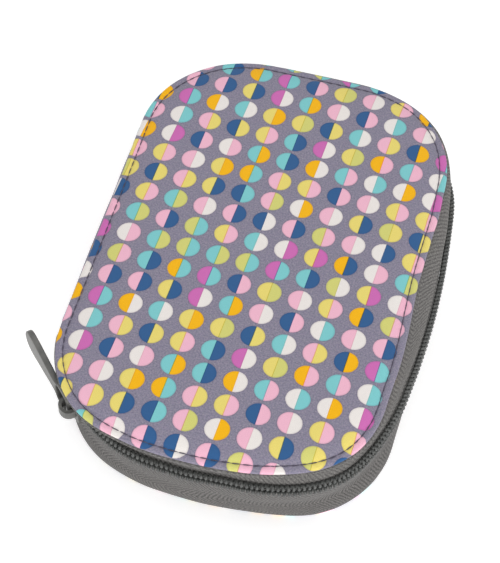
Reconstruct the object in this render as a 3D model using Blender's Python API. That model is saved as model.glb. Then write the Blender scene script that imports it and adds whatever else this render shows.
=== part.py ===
"""Zip-up fabric bobbin case: two printed panels joined by a printed spine on one
long side and by a zip round the other three, with slotted foam inside.

Frame: +Z up, +Y along the case, hinge spine on the -X side, origin at the centre
of the base panel's flat underside.  All driving sizes below are in millimetres;
MM turns them into metres.
"""
import math
import bpy
import bmesh
from mathutils import Vector

MM = 0.001

# ---------------------------------------------------------------- driving sizes
PANEL_HX, PANEL_HY, PANEL_R = 50.0, 77.4, 34.6      # half width, half length, corner radius of a panel
LID_SHIFT = (-3.7, -2.0)                            # the closed lid sits a little toward hinge and front
ZIP_SHIFT_X = -1.7                                  # the zip's path leans half that way
ZIP_EXTRA_R, ZIP_SHORTER_Y = 5.0, 1.0               # it turns the corners wider, and is a little shorter
GAP = 0.3                                           # standing clearance between pieces that touch

BASE_COVER_T = 1.3
LID_LIP_Z0, LID_LIP_Z1 = 26.7, 27.7                 # lid panel's edge
LID_CROWN_Z = 29.2                                  # top of the padded lid
COVER_T = 0.8
STITCH_IN = 2.1                                     # stitch line, in from the edge
STITCH_W, STITCH_GROOVE = 0.6, 1.2

WALL_T = 1.0                                        # zip tape with its backing
WALL_D = 1.2                                        # how far the zip stands outside the panel edge
ZIP_Z = 20.5                                        # height of the line between the two coils
COIL_H, COIL_T = 2.55, 1.7                          # one coil: height along Z, thickness outward
BOW_RIGHT, BOW_RIGHT_Y = 3.0, 55.0                  # the zip side bows out in its middle
BOW_LEFT, BOW_LEFT_Y = 2.0, 60.0
WALL_END_Y = 46.6                                   # the tapes end here, at the spine

SPINE_HALF = 45.2
HINGE_X, HINGE_LOW_Z, HINGE_TOP_Z = -56.3, 2.3, 27.0
SPINE_T, SPINE_LINING_T = 1.0, 0.5

FLANGE_IN = 5.0                                     # tape allowance sewn between cover and lining
FOAM_Z0, FOAM_Z1, FOAM_D, FOAM_SHIFT_X = 3.7, 16.0, -2.6, -0.85
SLOT_X, SLOT_Y = 21.5, 12.2                         # slot for a 20.5 x 11.7 bobbin stood on its rim
SIDE_COLUMN_X, SIDE_PITCH, SIDE_COUNT = 29.0, 13.4, 8
MID_PITCH, MID_COUNT = 13.6, 10
BLOCK_SPLIT_X = 14.6

SLIDER_PHI, SLIDER_HALF_DEG = 223.6, 6.3            # where the slider stops, round the front left corner
SLIDER_HALF_H = 3.9
WING_T = 0.9
BRIDGE_LEN, BRIDGE_W, BRIDGE_OUT = 6.4, 3.0, 3.5
PULL_AXIS_OUT = 1.25                                # pull's pivot, out from the wing's face
RING_LEN, RING_H, RING_WIRE = 8.6, 9.9, 1.7
TAB_LEN, TAB_H, TAB_T = 21.4, 6.8, 1.9

CORNER_STEPS = 9

# ---------------------------------------------------------------- clean start
for ob in list(bpy.data.objects):
    bpy.data.objects.remove(ob, do_unlink=True)


# ---------------------------------------------------------------- materials
def material(name, color, roughness, metallic=0.0):
    m = bpy.data.materials.new(name)
    m.use_nodes = True
    b = m.node_tree.nodes["Principled BSDF"]
    b.inputs["Base Color"].default_value = (*color, 1.0)
    b.inputs["Roughness"].default_value = roughness
    b.inputs["Metallic"].default_value = metallic
    m.diffuse_color = (*color, 1.0)
    return m


PRINT = material("printed_cotton", (0.25, 0.23, 0.31), 0.85)
THREAD = material("stitch_thread", (0.10, 0.10, 0.14), 0.8)
BOARD = material("stiffener_board", (0.32, 0.32, 0.32), 0.7)
LINING = material("lining_fabric", (0.20, 0.20, 0.22), 0.9)
PADDING = material("wadding", (0.75, 0.75, 0.73), 0.95)
TAPE = material("zip_tape", (0.14, 0.14, 0.135), 0.8)
COIL = material("nylon_coil", (0.09, 0.095, 0.095), 0.4)
FOAM = material("slotted_foam", (0.06, 0.06, 0.065), 0.95)
METAL = material("slider_metal", (0.115, 0.115, 0.11), 0.38, 0.8)


# ---------------------------------------------------------------- outline of a panel
def smooth(t):
    t = min(1.0, max(0.0, t))
    return t * t * (3.0 - 2.0 * t)


def corner_points(cx, cy, a0, a1, steps):
    for i in range(steps + 1):
        a = math.radians(a0 + (a1 - a0) * i / steps)
        yield (cx, cy, math.cos(a), math.sin(a))


def straight(p, q, steps):
    """Stations strictly between two stations, sharing their normal."""
    for i in range(1, steps):
        t = i / steps
        yield (p[0] + (q[0] - p[0]) * t, p[1] + (q[1] - p[1]) * t, p[2], p[3])


def outline(side_steps=10, end_steps=3):
    """Closed loop of stations (x, y, nx, ny) without offset: an offset d moves a
    station by (PANEL_R + d) along its normal from its corner centre."""
    ax, ay = PANEL_HX - PANEL_R, PANEL_HY - PANEL_R
    loops = [list(corner_points(-ax, -ay, 180, 270, CORNER_STEPS)),
             list(corner_points(ax, -ay, 270, 360, CORNER_STEPS)),
             list(corner_points(ax, ay, 0, 90, CORNER_STEPS)),
             list(corner_points(-ax, ay, 90, 180, CORNER_STEPS))]
    between = [end_steps, side_steps, end_steps, side_steps]
    pts = []
    for k in range(4):
        pts += loops[k]
        pts += list(straight(loops[k][-1], loops[(k + 1) % 4][0], between[k]))
    return pts


def open_outline():
    """Stations of the zip's path: from the hinge's front end round the front, right
    and back sides to the hinge's back end."""
    ax, ay = PANEL_HX - PANEL_R, PANEL_HY - PANEL_R
    lead = 42.8 - WALL_END_Y
    first = (-ax, -ay - lead, -1.0, 0.0)
    last = (-ax, ay + lead, -1.0, 0.0)
    # the path runs on past the straight part of the hinge side, round its corner
    loop = [list(corner_points(-ax, -ay, 180 + 6.4, 270, CORNER_STEPS + 3)),
            list(corner_points(ax, -ay, 270, 360, CORNER_STEPS)),
            list(corner_points(ax, ay, 0, 90, CORNER_STEPS)),
            list(corner_points(-ax, ay, 90, 180 - 6.4, CORNER_STEPS))]
    between = [3, 10, 3]
    pts = []
    for k in range(4):
        pts += loop[k]
        if k < 3:
            pts += list(straight(loop[k][-1], loop[k + 1][0], between[k]))
    return pts


def lid_lean(z):
    """0 up to the zip, 1 at the lid panel: carries the wall over to the shifted lid."""
    return smooth((z - 24.3) / (26.2 - 24.3))


def bow_weight(z):
    return smooth((z - 2.0) / 14.0) * (1.0 - smooth((z - 24.0) / 2.3))


def bow(x, y, z):
    if x > 0:
        amp, half = BOW_RIGHT, BOW_RIGHT_Y
    else:
        amp, half = -BOW_LEFT, BOW_LEFT_Y
    if abs(y) >= half:
        return 0.0
    side = smooth((abs(x) - 20.0) / 25.0)
    return amp * side * math.cos(math.pi * y / (2 * half)) ** 2 * bow_weight(z)


def flat_point(st, d, z, shift=(0.0, 0.0)):
    x, y, nx, ny = st
    return Vector(((x + nx * (PANEL_R + d) + shift[0]) * MM,
                   (y + ny * (PANEL_R + d) + shift[1]) * MM, z * MM))


def wall_point(st, d, z):
    """Point of the soft side wall: panel outline at both seams, the zip's own wider
    turning and leaning outline between them."""
    x, y, nx, ny = st
    k = lid_lean(z)
    rise = smooth((z - 2.2) / 8.0)
    w = rise * (1.0 - k)
    ax, ay = PANEL_HX - PANEL_R, PANEL_HY - PANEL_R
    x *= (ax - ZIP_EXTRA_R * w) / ax
    y *= (ay - (ZIP_EXTRA_R + ZIP_SHORTER_Y) * w) / ay
    r = PANEL_R + ZIP_EXTRA_R * w + d
    px, py = x + nx * r, y + ny * r
    px += bow(px, py, z) + ZIP_SHIFT_X * rise
    return Vector(((px + (LID_SHIFT[0] - ZIP_SHIFT_X) * k) * MM, (py + LID_SHIFT[1] * k) * MM, z * MM))


# ---------------------------------------------------------------- solids
def finish(name, bm, mat, smooth_angle=35.0):
    bmesh.ops.recalc_face_normals(bm, faces=bm.faces)
    me = bpy.data.meshes.new(name)
    bm.to_mesh(me)
    bm.free()
    me.materials.append(mat)
    me.shade_smooth()
    me.set_sharp_from_angle(angle=math.radians(smooth_angle))
    ob = bpy.data.objects.new(name, me)
    bpy.context.scene.collection.objects.link(ob)
    return ob


def extrude_rings(bm, rings):
    """Extrude a closed edge loop from ring to ring; returns first and last verts."""
    n = len(rings[0])
    first = [bm.verts.new(p) for p in rings[0]]
    edges = [bm.edges.new((first[i], first[(i + 1) % n])) for i in range(n)]
    verts = first
    for ring in rings[1:]:
        out = bmesh.ops.extrude_edge_only(bm, edges=edges)["geom"]
        fresh = {g for g in out if isinstance(g, bmesh.types.BMVert)}
        nxt = []
        for v in verts:
            nxt.append(next(e.other_vert(v) for e in v.link_edges if e.other_vert(v) in fresh))
        for v, p in zip(nxt, ring):
            v.co = p
        edges = [bm.edges.get((nxt[i], nxt[(i + 1) % n])) for i in range(n)]
        verts = nxt
    return first, verts


def loft(name, rings, mat, smooth_angle=35.0):
    """Closed solid through the rings, capped at both ends."""
    bm = bmesh.new()
    first, last = extrude_rings(bm, rings)
    bm.faces.new(first)
    bm.faces.new(last)
    return finish(name, bm, mat, smooth_angle)


def loop_sweep(name, sections, mat, smooth_angle=35.0):
    """Closed ring-shaped solid: sections follow a closed path."""
    bm = bmesh.new()
    first, last = extrude_rings(bm, sections)
    n = len(first)
    for i in range(n):
        bm.faces.new((last[i], last[(i + 1) % n], first[(i + 1) % n], first[i]))
    return finish(name, bm, mat, smooth_angle)


def plate(name, profile, mat, shift=(0.0, 0.0), side_steps=1, smooth_angle=35.0):
    """Panel-shaped solid; profile is a list of (offset, z) rings."""
    st = outline(side_steps, 1)
    return loft(name, [[flat_point(s, d, z, shift) for s in st] for d, z in profile], mat, smooth_angle)


def box(name, lo, hi, mat=None):
    bm = bmesh.new()
    bmesh.ops.create_cube(bm, size=1.0)
    for v in bm.verts:
        v.co = Vector([(lo[i] + (hi[i] - lo[i]) * (v.co[i] + 0.5)) * MM for i in range(3)])
    return finish(name, bm, mat or BOARD)


def boolean(target, cutter, operation):
    m = target.modifiers.new(operation.lower(), "BOOLEAN")
    m.object = cutter
    m.operation = operation
    m.solver = "EXACT"
    cutter.hide_render = True
    cutter.display_type = "WIRE"
    return m


def apply_modifiers(ob, drop=()):
    """Keep the evaluated shape as the object's own mesh and remove its helpers."""
    dg = bpy.context.evaluated_depsgraph_get()
    dg.update()
    me = bpy.data.meshes.new_from_object(ob.evaluated_get(dg))
    ob.modifiers.clear()
    ob.data = me
    me.shade_smooth()
    me.set_sharp_from_angle(angle=math.radians(35.0))
    for h in drop:
        bpy.data.objects.remove(h, do_unlink=True)
    return ob


def stitch_ring(name, z0, z1, shift):
    """Thread line: a closed loop of rounded section lying in the groove."""
    h = STITCH_W / 2
    zc, zh = (z0 + z1) / 2, (z1 - z0) / 2
    sec = [(-h, -zh * 0.5), (-h * 0.5, -zh), (h * 0.5, -zh), (h, -zh * 0.5),
           (h, zh * 0.5), (h * 0.5, zh), (-h * 0.5, zh), (-h, zh * 0.5)]
    st = outline(1, 1)
    return loop_sweep(name, [[flat_point(s, -STITCH_IN + a, zc + b, shift) for a, b in sec] for s in st],
                      THREAD, 60.0)


# ================================================================ base body
g0, g1 = -STITCH_IN - STITCH_GROOVE / 2, -STITCH_IN + STITCH_GROOVE / 2
base_cover = plate("base_cover_panel", [
    (-5.2, 0.0), (g0, 0.0), (g0, 0.75), (g1, 0.75), (g1, 0.12), (-0.9, 0.25), (-0.25, 0.6),
    (0.0, 1.0), (-0.1, BASE_COVER_T), (-30.0, BASE_COVER_T)], PRINT)
base_tab = box("base_tab_tool", (HINGE_X - 0.2, -SPINE_HALF, 0.55), (-44.0, SPINE_HALF, 1.15))
boolean(base_cover, base_tab, "UNION")
apply_modifiers(base_cover, [base_tab])

stitch_ring("base_edge_stitching", 0.05, 0.42, (0, 0))

plate("base_stiffener_board", [(-FLANGE_IN - 0.5, 1.6), (-FLANGE_IN - 0.5, 2.6)], BOARD)
plate("base_lining", [(-FLANGE_IN - 0.5, 2.9), (-FLANGE_IN - 0.5, 3.4)], LINING)


def wall_sweep(name, section, mat, stations=None, smooth_angle=40.0):
    sts = stations or open_outline()
    return loft(name, [[wall_point(s, d, z) for d, z in section] for s in sts], mat, smooth_angle)


# lower band: a sewn allowance under the lining, then the tape up to the coil
base_band = [(-FLANGE_IN, 1.6), (-0.4, 1.6), (0.35, 2.2), (0.8, 5.0), (1.15, 10.0), (WALL_D, 15.0),
             (WALL_D, ZIP_Z - 0.2),
             (WALL_D - WALL_T, ZIP_Z - 0.2), (WALL_D - WALL_T, 15.0), (0.15, 10.0), (-0.2, 5.0),
             (-0.6, 2.9), (-0.9, 2.2), (-FLANGE_IN, 2.2)]
wall_sweep("base_gusset_tape", base_band, TAPE)

wall_sweep("base_seam_binding", [(-FLANGE_IN, 2.5), (-1.5, 2.5), (-1.5, 3.1), (-FLANGE_IN, 3.1)], LINING)


def coil_section(zc):
    """Rounded section of one coil, standing on the tape's outer face."""
    d0, d1 = WALL_D + GAP, WALL_D + GAP + COIL_T
    h = COIL_H / 2
    return [(d0, zc - h + 0.4), (d0 + 0.4, zc - h), (d1 - 0.6, zc - h), (d1, zc - h + 0.6),
            (d1, zc + h - 0.6), (d1 - 0.6, zc + h), (d0 + 0.4, zc + h), (d0, zc + h - 0.4)]


COIL_FROM = 204.0                                   # both coils start short of the spine
ring_path = open_outline()
hinge_corner = (-(PANEL_HX - PANEL_R), -(PANEL_HY - PANEL_R))
coil_stations = [(*hinge_corner, math.cos(math.radians(a)), math.sin(math.radians(a)))
                 for a in (COIL_FROM, 212, 220, 228, 236, 245, 254, 262, 270)] + ring_path[CORNER_STEPS + 4:-2]
wall_sweep("base_zip_coil", coil_section(ZIP_Z - 0.15 - COIL_H / 2), COIL, coil_stations, 60.0)

# ---- slotted foam, in three blocks side by side
foam_ring = [(FOAM_D - 0.4, FOAM_Z0), (FOAM_D, FOAM_Z0 + 0.6), (FOAM_D, FOAM_Z1 - 0.6), (FOAM_D - 0.6, FOAM_Z1)]


def foam_point(st, d, z):
    """The foam follows the zip's wider corners, straight up."""
    x, y, nx, ny = st
    ax, ay = PANEL_HX - PANEL_R, PANEL_HY - PANEL_R
    r = PANEL_R + ZIP_EXTRA_R + d
    return Vector(((x * (ax - ZIP_EXTRA_R) / ax + nx * r + FOAM_SHIFT_X) * MM,
                   (y * (ay - ZIP_EXTRA_R - ZIP_SHORTER_Y) / ay + ny * r) * MM, z * MM))


def foam_block(name, x0, x1, column_x, pitch, count):
    block = loft(name, [[foam_point(s, d, z) for s in outline(1, 1)] for d, z in foam_ring], FOAM)
    tools = []
    for side, lo, hi in (("a", -80.0, x0), ("b", x1, 80.0)):
        if lo < hi and not (side == "a" and x0 < -60) and not (side == "b" and x1 > 60):
            t = box(name + "_trim_" + side, (lo, -90, 0), (hi, 90, 30))
            boolean(block, t, "DIFFERENCE")
            tools.append(t)
    for i in range(count):
        yc = (i - (count - 1) / 2) * pitch
        t = box("%s_slot_%02d" % (name, i), (column_x - SLOT_X / 2, yc - SLOT_Y / 2, 0),
                (column_x + SLOT_X / 2, yc + SLOT_Y / 2, 30))
        boolean(block, t, "DIFFERENCE")
        tools.append(t)
    return apply_modifiers(block, tools)


f0 = FOAM_SHIFT_X
foam_block("foam_block_left", -70.0, f0 - BLOCK_SPLIT_X - 0.15, f0 - SIDE_COLUMN_X, SIDE_PITCH, SIDE_COUNT)
foam_block("foam_block_middle", f0 - BLOCK_SPLIT_X + 0.15, f0 + BLOCK_SPLIT_X - 0.15, f0, MID_PITCH, MID_COUNT)
foam_block("foam_block_right", f0 + BLOCK_SPLIT_X + 0.15, 70.0, f0 + SIDE_COLUMN_X, SIDE_PITCH, SIDE_COUNT)

# ================================================================ lid body
lid_cover = plate("lid_cover_panel", [
    (-32.0, LID_CROWN_Z - COVER_T), (-22.0, 28.3), (-12.0, 28.05), (-5.6, 27.5), (-4.6, LID_LIP_Z0),
    (-0.2, LID_LIP_Z0), (0.0, 26.95), (0.0, 27.45), (-0.3, LID_LIP_Z1), (g1, 27.75), (g1, 27.1),
    (g0, 27.1), (g0, 27.85), (-3.6, 28.15), (-6.0, 28.5), (-12.0, 28.85), (-22.0, 29.1),
    (-32.0, LID_CROWN_Z)], PRINT, LID_SHIFT)
lid_tab = box("lid_tab_tool", (HINGE_X - 0.2, -SPINE_HALF, 26.8), (-50.1, SPINE_HALF - 3.0, 27.35))
boolean(lid_cover, lid_tab, "UNION")
apply_modifiers(lid_cover, [lid_tab])

stitch_ring("lid_edge_stitching", 27.42, 27.82, LID_SHIFT)

plate("lid_padding", [(-6.0, LID_LIP_Z0), (-6.0, 27.1), (-12.0, 27.7), (-22.0, 27.95), (-32.0, 28.05)],
      PADDING, LID_SHIFT)
plate("lid_stiffener_board", [(-FLANGE_IN - 0.5, 25.5), (-FLANGE_IN - 0.5, 26.4)], BOARD, LID_SHIFT)
plate("lid_lining", [(-FLANGE_IN - 0.5, 24.7), (-FLANGE_IN - 0.5, 25.2)], LINING, LID_SHIFT)


def lid_stations():
    """The zip's path with a notch where the slider stands: yields (station, in_notch)."""
    ax, ay = PANEL_HX - PANEL_R, PANEL_HY - PANEL_R
    lo, hi = SLIDER_PHI - SLIDER_HALF_DEG - 1.6, SLIDER_PHI + SLIDER_HALF_DEG + 1.0
    first = [(a, False) for a in (186.4, 196, 206, lo - 0.02)] + [(a, True) for a in (lo, 220, 226, hi)] + \
            [(a, False) for a in (hi + 0.02, 241, 251, 261, 270)]
    out = [((-ax, -ay, math.cos(math.radians(a)), math.sin(math.radians(a))), n) for a, n in first]
    rest = open_outline()[CORNER_STEPS + 4:]
    return out + [(s, False) for s in rest]


def lid_band(z_low):
    top_in = 25.9
    z_mid = max(z_low + 0.1, 24.2)
    return [(-FLANGE_IN, 26.4), (-0.9, 26.4), (0.1, 26.1), (0.7, 25.6), (1.1, 25.1), (WALL_D, z_mid), (WALL_D, z_low),
            (WALL_D - WALL_T, z_low), (WALL_D - WALL_T, z_mid), (0.12, 25.0), (-0.2, 25.35), (-0.8, 25.75),
            (-1.4, top_in), (-FLANGE_IN, top_in)]


loft("lid_gusset_tape", [[wall_point(s, d, z) for d, z in lid_band(24.75 if notch else ZIP_Z + 0.2)]
                         for s, notch in lid_stations()], TAPE, 40.0)

# binding over the lid tape's sewn edge; it lies with the lid panel
binding = [(-FLANGE_IN, 25.0), (-3.8, 25.0), (-3.8, 25.6), (-FLANGE_IN, 25.6)]
loft("lid_seam_binding", [[flat_point(s, d, z, LID_SHIFT) for d, z in binding] for s in open_outline()], LINING)

# the lid's coil runs from the slider's nose to the back end of the path
coil_path = [s for s, notch in lid_stations() if not notch][4:-2]
wall_sweep("lid_zip_coil", coil_section(ZIP_Z + 0.15 + COIL_H / 2), COIL, coil_path, 60.0)

# ================================================================ spine body
def spine_strip(name, x_out, thick, bulge, z0, z1, mat):
    rows = [z0, z0 + 3.0, z0 + 8.0, (z0 + z1) / 2, z1 - 8.0, z1 - 3.0, z1]
    mid, half = (z0 + z1) / 2, (z1 - z0) / 2
    sec = [(x_out - bulge * (1 - ((z - mid) / half) ** 2), z) for z in rows]
    sec += [(x + thick, z) for x, z in reversed(sec)]
    ys = [-SPINE_HALF + 2 * SPINE_HALF * i / 6 for i in range(7)]
    return loft(name, [[Vector((x * MM, y * MM, z * MM)) for x, z in sec] for y in ys], mat)


spine_strip("spine_cover", HINGE_X - 1.1, SPINE_T, 0.3, HINGE_LOW_Z + 0.9, HINGE_TOP_Z - 0.9, PRINT)
spine_strip("spine_lining", HINGE_X + 0.2, SPINE_LINING_T, 0.3, HINGE_LOW_Z + 2.2, HINGE_TOP_Z - 2.2, LINING)

# ================================================================ slider and pull
CX = -(PANEL_HX - PANEL_R) + ZIP_EXTRA_R + ZIP_SHIFT_X          # centre of the zip's front left corner
CY = -(PANEL_HY - PANEL_R) + ZIP_EXTRA_R + ZIP_SHORTER_Y
ZIP_R = PANEL_R + ZIP_EXTRA_R
RAD = math.radians(SLIDER_PHI)
N_DIR = Vector((math.cos(RAD), math.sin(RAD), 0.0))          # outward at the slider
T_DIR = Vector((math.sin(RAD), -math.cos(RAD), 0.0))         # along the path, toward the hinge


def arc_point(deg, d, z):
    a = math.radians(deg)
    r = ZIP_R + d
    return Vector(((CX + r * math.cos(a)) * MM, (CY + r * math.sin(a)) * MM, z * MM))


def wing(name, d0, d1, half_deg, half_h):
    """Shield-shaped plate curved with the corner, broad at the nose."""
    steps = 6
    rings = []
    for i in range(steps + 1):
        t = -1.0 + 2.0 * i / steps
        h = half_h * (1.0 - 0.16 * smooth((t + 1.0) / 2.0)) * (1.0 - 0.12 * max(0.0, abs(t) - 0.6) / 0.4)
        c = 0.25
        sec = [(d0, -h + c), (d0, h - c), (d0 + c, h), (d1 - c, h), (d1, h - c), (d1, -h + c), (d1 - c, -h), (d0 + c, -h)]
        rings.append([arc_point(SLIDER_PHI + half_deg * t, d, ZIP_Z + z) for d, z in sec])
    return loft(name, rings, METAL)


WING_D0 = WALL_D + GAP + COIL_T + 0.3
WING_D1 = WING_D0 + WING_T
front = wing("slider_front_wing", WING_D0, WING_D1, SLIDER_HALF_DEG, SLIDER_HALF_H)

# bridge: an arch over the pull's bar, joined to the front wing
origin = arc_point(SLIDER_PHI, WING_D1, ZIP_Z)
half = BRIDGE_LEN / 2
arch = []
inner = []
for i in range(13):
    a = math.pi * i / 12
    arch.append((half * math.cos(a), BRIDGE_OUT * math.sin(a) ** 0.7))
    inner.append(((half - 1.15) * math.cos(a), (BRIDGE_OUT - 0.95) * math.sin(a) ** 0.7))
arch = [(arch[0][0], -0.6)] + arch + [(arch[-1][0], -0.6)]
inner = [(inner[-1][0], -0.6)] + inner[::-1] + [(inner[0][0], -0.6)]
prof = arch + inner
sections = []
for w in (-BRIDGE_W / 2, -BRIDGE_W / 2 + 0.3, BRIDGE_W / 2 - 0.3, BRIDGE_W / 2):
    sections.append([origin + T_DIR * (t * MM) + N_DIR * (o * MM) + Vector((0, 0, w * MM)) for t, o in prof])
bridge = loft("bridge_tool", sections, METAL)
boolean(front, bridge, "UNION")
apply_modifiers(front, [bridge])

wing("slider_back_wing", WALL_D - WALL_T - 0.35 - WING_T, WALL_D - WALL_T - 0.35, SLIDER_HALF_DEG, SLIDER_HALF_H - 0.2)

# pull: a flat tab that narrows to a ring; the ring's near bar turns in the bridge
pivot = origin + N_DIR * (PULL_AXIS_OUT * MM)


def pull_outline():
    """Outer outline in (along, height) from the pivot, +along toward the tip."""
    r = RING_H / 2
    near = -RING_WIRE / 2
    pts = [(near + 2.2, r), (near + 0.9, r - 0.35), (near + 0.25, r - 1.1), (near, r - 2.2),
           (near, -r + 2.2), (near + 0.25, -r + 1.1), (near + 0.9, -r + 0.35), (near + 2.2, -r)]
    neck = RING_LEN + 0.6
    lower = [(RING_LEN - 3.0, -r + 0.6), (RING_LEN - 1.0, -r + 2.1), (neck, -2.35), (neck + 3.0, -2.55),
             (neck + 8.0, -TAB_H / 2 + 0.25), (neck + 12.0, -TAB_H / 2)]
    tip = []
    end = RING_LEN + TAB_LEN
    tr = TAB_H / 2
    for i in range(9):
        a = -math.pi / 2 + math.pi * i / 8
        tip.append((end - tr + tr * math.cos(a), tr * math.sin(a)))
    upper = [(x, -z) for x, z in reversed(lower)]
    return pts + lower + tip + upper


def pull_solid(name, outline2d, thick, mat):
    """Flat solid with softened rims, standing in the vertical plane along T_DIR."""
    n = len(outline2d)
    cx = sum(p[0] for p in outline2d) / n
    rings = []
    for o, s in ((-thick / 2, 0.35), (-thick / 2 + 0.35, 0.0), (thick / 2 - 0.35, 0.0), (thick / 2, 0.35)):
        ring = []
        for i, (x, z) in enumerate(outline2d):
            px, pz = outline2d[i - 1]
            qx, qz = outline2d[(i + 1) % n]
            tx, tz = qx - px, qz - pz
            ln = math.hypot(tx, tz) or 1.0
            ring.append(pivot + T_DIR * ((x - s * tz / ln) * MM) + Vector((0, 0, (z + s * tx / ln) * MM)) + N_DIR * (o * MM))
        rings.append(ring)
    return loft(name, rings, mat)


pull = pull_solid("zip_pull", pull_outline(), TAB_T, METAL)
hole = []
hr_x0, hr_x1, hr_h = RING_WIRE / 2, RING_LEN - RING_WIRE / 2, RING_H / 2 - RING_WIRE
for cx, cz, a0 in ((hr_x1 - 1.9, -hr_h + 1.9, -90), (hr_x1 - 1.9, hr_h - 1.9, 0), (hr_x0 + 1.5, hr_h - 1.5, 90), (hr_x0 + 1.5, -hr_h + 1.5, 180)):
    rr = 1.9 if cx > 4 else 1.5
    for i in range(5):
        a = math.radians(a0 + 90 * i / 4)
        hole.append((cx + rr * math.cos(a), cz + rr * math.sin(a)))
tool = loft("pull_hole_tool", [[pivot + T_DIR * (x * MM) + Vector((0, 0, z * MM)) + N_DIR * (o * MM) for x, z in hole]
                               for o in (-4.0, 4.0)], METAL)
boolean(pull, tool, "DIFFERENCE")
apply_modifiers(pull, [tool])


# ---------------------------------------------------------------- joint frames
def joint_empty(name, pos, children, parent=None):
    e = bpy.data.objects.new(name, None)
    e.empty_display_size = 0.01
    e.location = pos
    bpy.context.scene.collection.objects.link(e)
    if parent:
        e.parent = parent
        e.location = Vector(pos) - parent.matrix_world.translation
    bpy.context.view_layer.update()
    for c in children:
        ob = bpy.data.objects[c]
        ob.parent = e
        ob.matrix_parent_inverse = e.matrix_world.inverted()
    return e


spine_e = joint_empty("spine_hinge_axis", (HINGE_X * MM, 0, HINGE_LOW_Z * MM), ["spine_cover", "spine_lining"])
joint_empty("lid_hinge_axis", (HINGE_X * MM, 0, HINGE_TOP_Z * MM),
            ["lid_cover_panel", "lid_edge_stitching", "lid_padding", "lid_stiffener_board", "lid_lining",
             "lid_gusset_tape", "lid_seam_binding", "lid_zip_coil"], spine_e)
slider_e = joint_empty("slider_travel_axis", (CX * MM, CY * MM, ZIP_Z * MM), ["slider_front_wing", "slider_back_wing"])
joint_empty("pull_swing_axis", pivot, ["zip_pull"], slider_e)
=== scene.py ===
import math
import bpy
import bmesh
import numpy as np
from mathutils import Matrix, Vector


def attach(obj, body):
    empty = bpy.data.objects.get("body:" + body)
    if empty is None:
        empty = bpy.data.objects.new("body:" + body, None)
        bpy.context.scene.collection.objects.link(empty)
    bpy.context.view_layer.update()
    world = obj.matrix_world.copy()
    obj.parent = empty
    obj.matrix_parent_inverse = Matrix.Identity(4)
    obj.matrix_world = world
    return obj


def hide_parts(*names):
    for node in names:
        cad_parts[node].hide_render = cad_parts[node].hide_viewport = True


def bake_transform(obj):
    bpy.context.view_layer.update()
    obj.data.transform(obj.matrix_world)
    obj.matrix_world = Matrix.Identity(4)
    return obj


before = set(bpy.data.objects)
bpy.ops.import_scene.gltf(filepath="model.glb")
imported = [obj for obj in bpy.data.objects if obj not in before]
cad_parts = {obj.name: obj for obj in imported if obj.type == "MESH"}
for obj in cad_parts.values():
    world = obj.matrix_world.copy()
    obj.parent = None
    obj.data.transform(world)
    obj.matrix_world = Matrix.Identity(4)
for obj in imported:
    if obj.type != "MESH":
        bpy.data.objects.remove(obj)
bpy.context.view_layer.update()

MM = 0.001

# ------------------------------------------------------------------ the case's own sizes (mm), as in the CAD
HX, HY, RP = 50.0, 77.4, 34.6
LID_SHIFT = (-3.7, -2.0)
ZIP_SHIFT_X = -1.7
EXTRA_R, SHORT_Y = 5.0, 1.0
WALL_D, WALL_T = 1.2, 1.0
ZIP_Z = 20.5
BOW_RIGHT, BOW_RIGHT_Y = 3.0, 55.0
BOW_LEFT, BOW_LEFT_Y = 2.0, 60.0
STITCH_IN = 2.1
SPINE_HALF = 43.4
HINGE_X, HINGE_LOW_Z, HINGE_TOP_Z = -56.3, 2.3, 27.0
SLIDER_PHI, SLIDER_HALF_DEG = 223.6, 6.3
AX, AY = HX - RP, HY - RP


# ================================================================== materials
def lin(c):
    c = c / 255.0
    return c / 12.92 if c <= 0.04045 else ((c + 0.055) / 1.055) ** 2.4


def srgb(r, g, b):
    return (lin(r), lin(g), lin(b), 1.0)


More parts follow.
